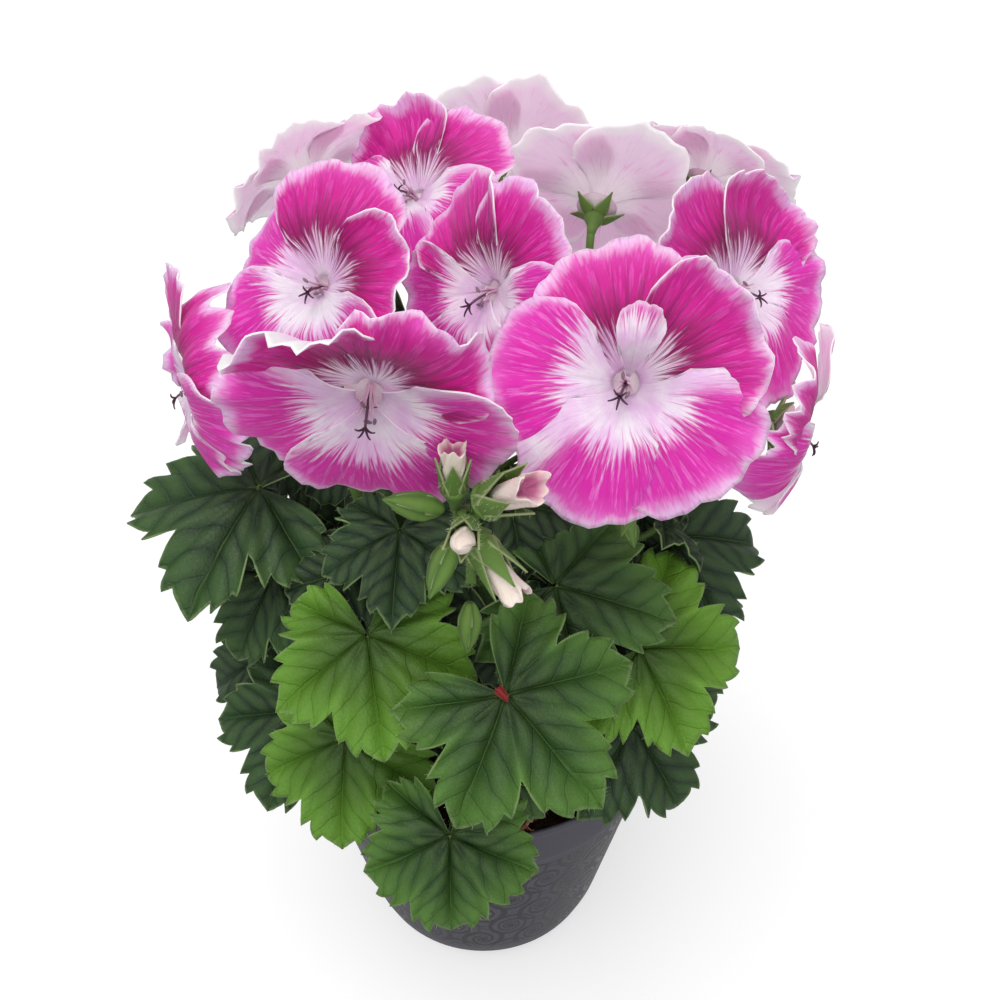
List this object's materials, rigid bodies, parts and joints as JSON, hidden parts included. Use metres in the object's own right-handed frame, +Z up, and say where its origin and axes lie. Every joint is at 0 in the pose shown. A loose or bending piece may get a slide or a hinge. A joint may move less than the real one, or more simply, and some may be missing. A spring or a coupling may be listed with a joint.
{
  "type": "potted flowering plant",
  "caption": "Potted regal pelargonium: lobed, toothed leaves and heads of wavy two-tone flowers over a tapered round plastic pot.",
  "frame": {"origin": "centre of the pot's underside, on the surface it stands on", "axes": "+Z up along the pot's axis, -Y towards the front of the plant"},
  "size_m": [0.1882, 0.1733, 0.2783],
  "materials": {
    "pot_plastic": "satin, dark anthracite with a darker scroll pattern under a plain band",
    "soil": "crumbly, matt",
    "dry_roots": "dry fibre",
    "leafy": "fresh green, softly hairy",
    "petals": "velvety, white and pink with magenta blotches",
    "bud_petals": "silky, white to pink"
  },
  "bodies": {
    "root": {"pot": "pot_plastic", "soil": "soil", "dry_roots": "dry_roots", "bloom_back_left": "petals", "bloom_back_left_top": "petals", "bloom_back_right": "petals", "bloom_back_right_near": "petals", "bloom_back_right_top": "petals", "bloom_left_front": "petals", "bloom_left_side": "petals", "bloom_left_top": "petals", "bloom_middle_back": "petals", "bloom_middle_front": "petals", "bloom_middle_left": "petals", "bloom_right_front": "petals", "bloom_right_side": "petals", "bloom_right_top": "petals", "bud_facing": "bud_petals", "bud_pink": "bud_petals", "bud_right": "bud_petals", "bud_upright": "bud_petals", "leafy_stem_back_left": "leafy", "leafy_stem_back_right": "leafy", "leafy_stem_front": "leafy", "leafy_stem_left": "leafy", "leafy_stem_middle": "leafy", "leafy_stem_right": "leafy"}
  },
  "joints": []
}
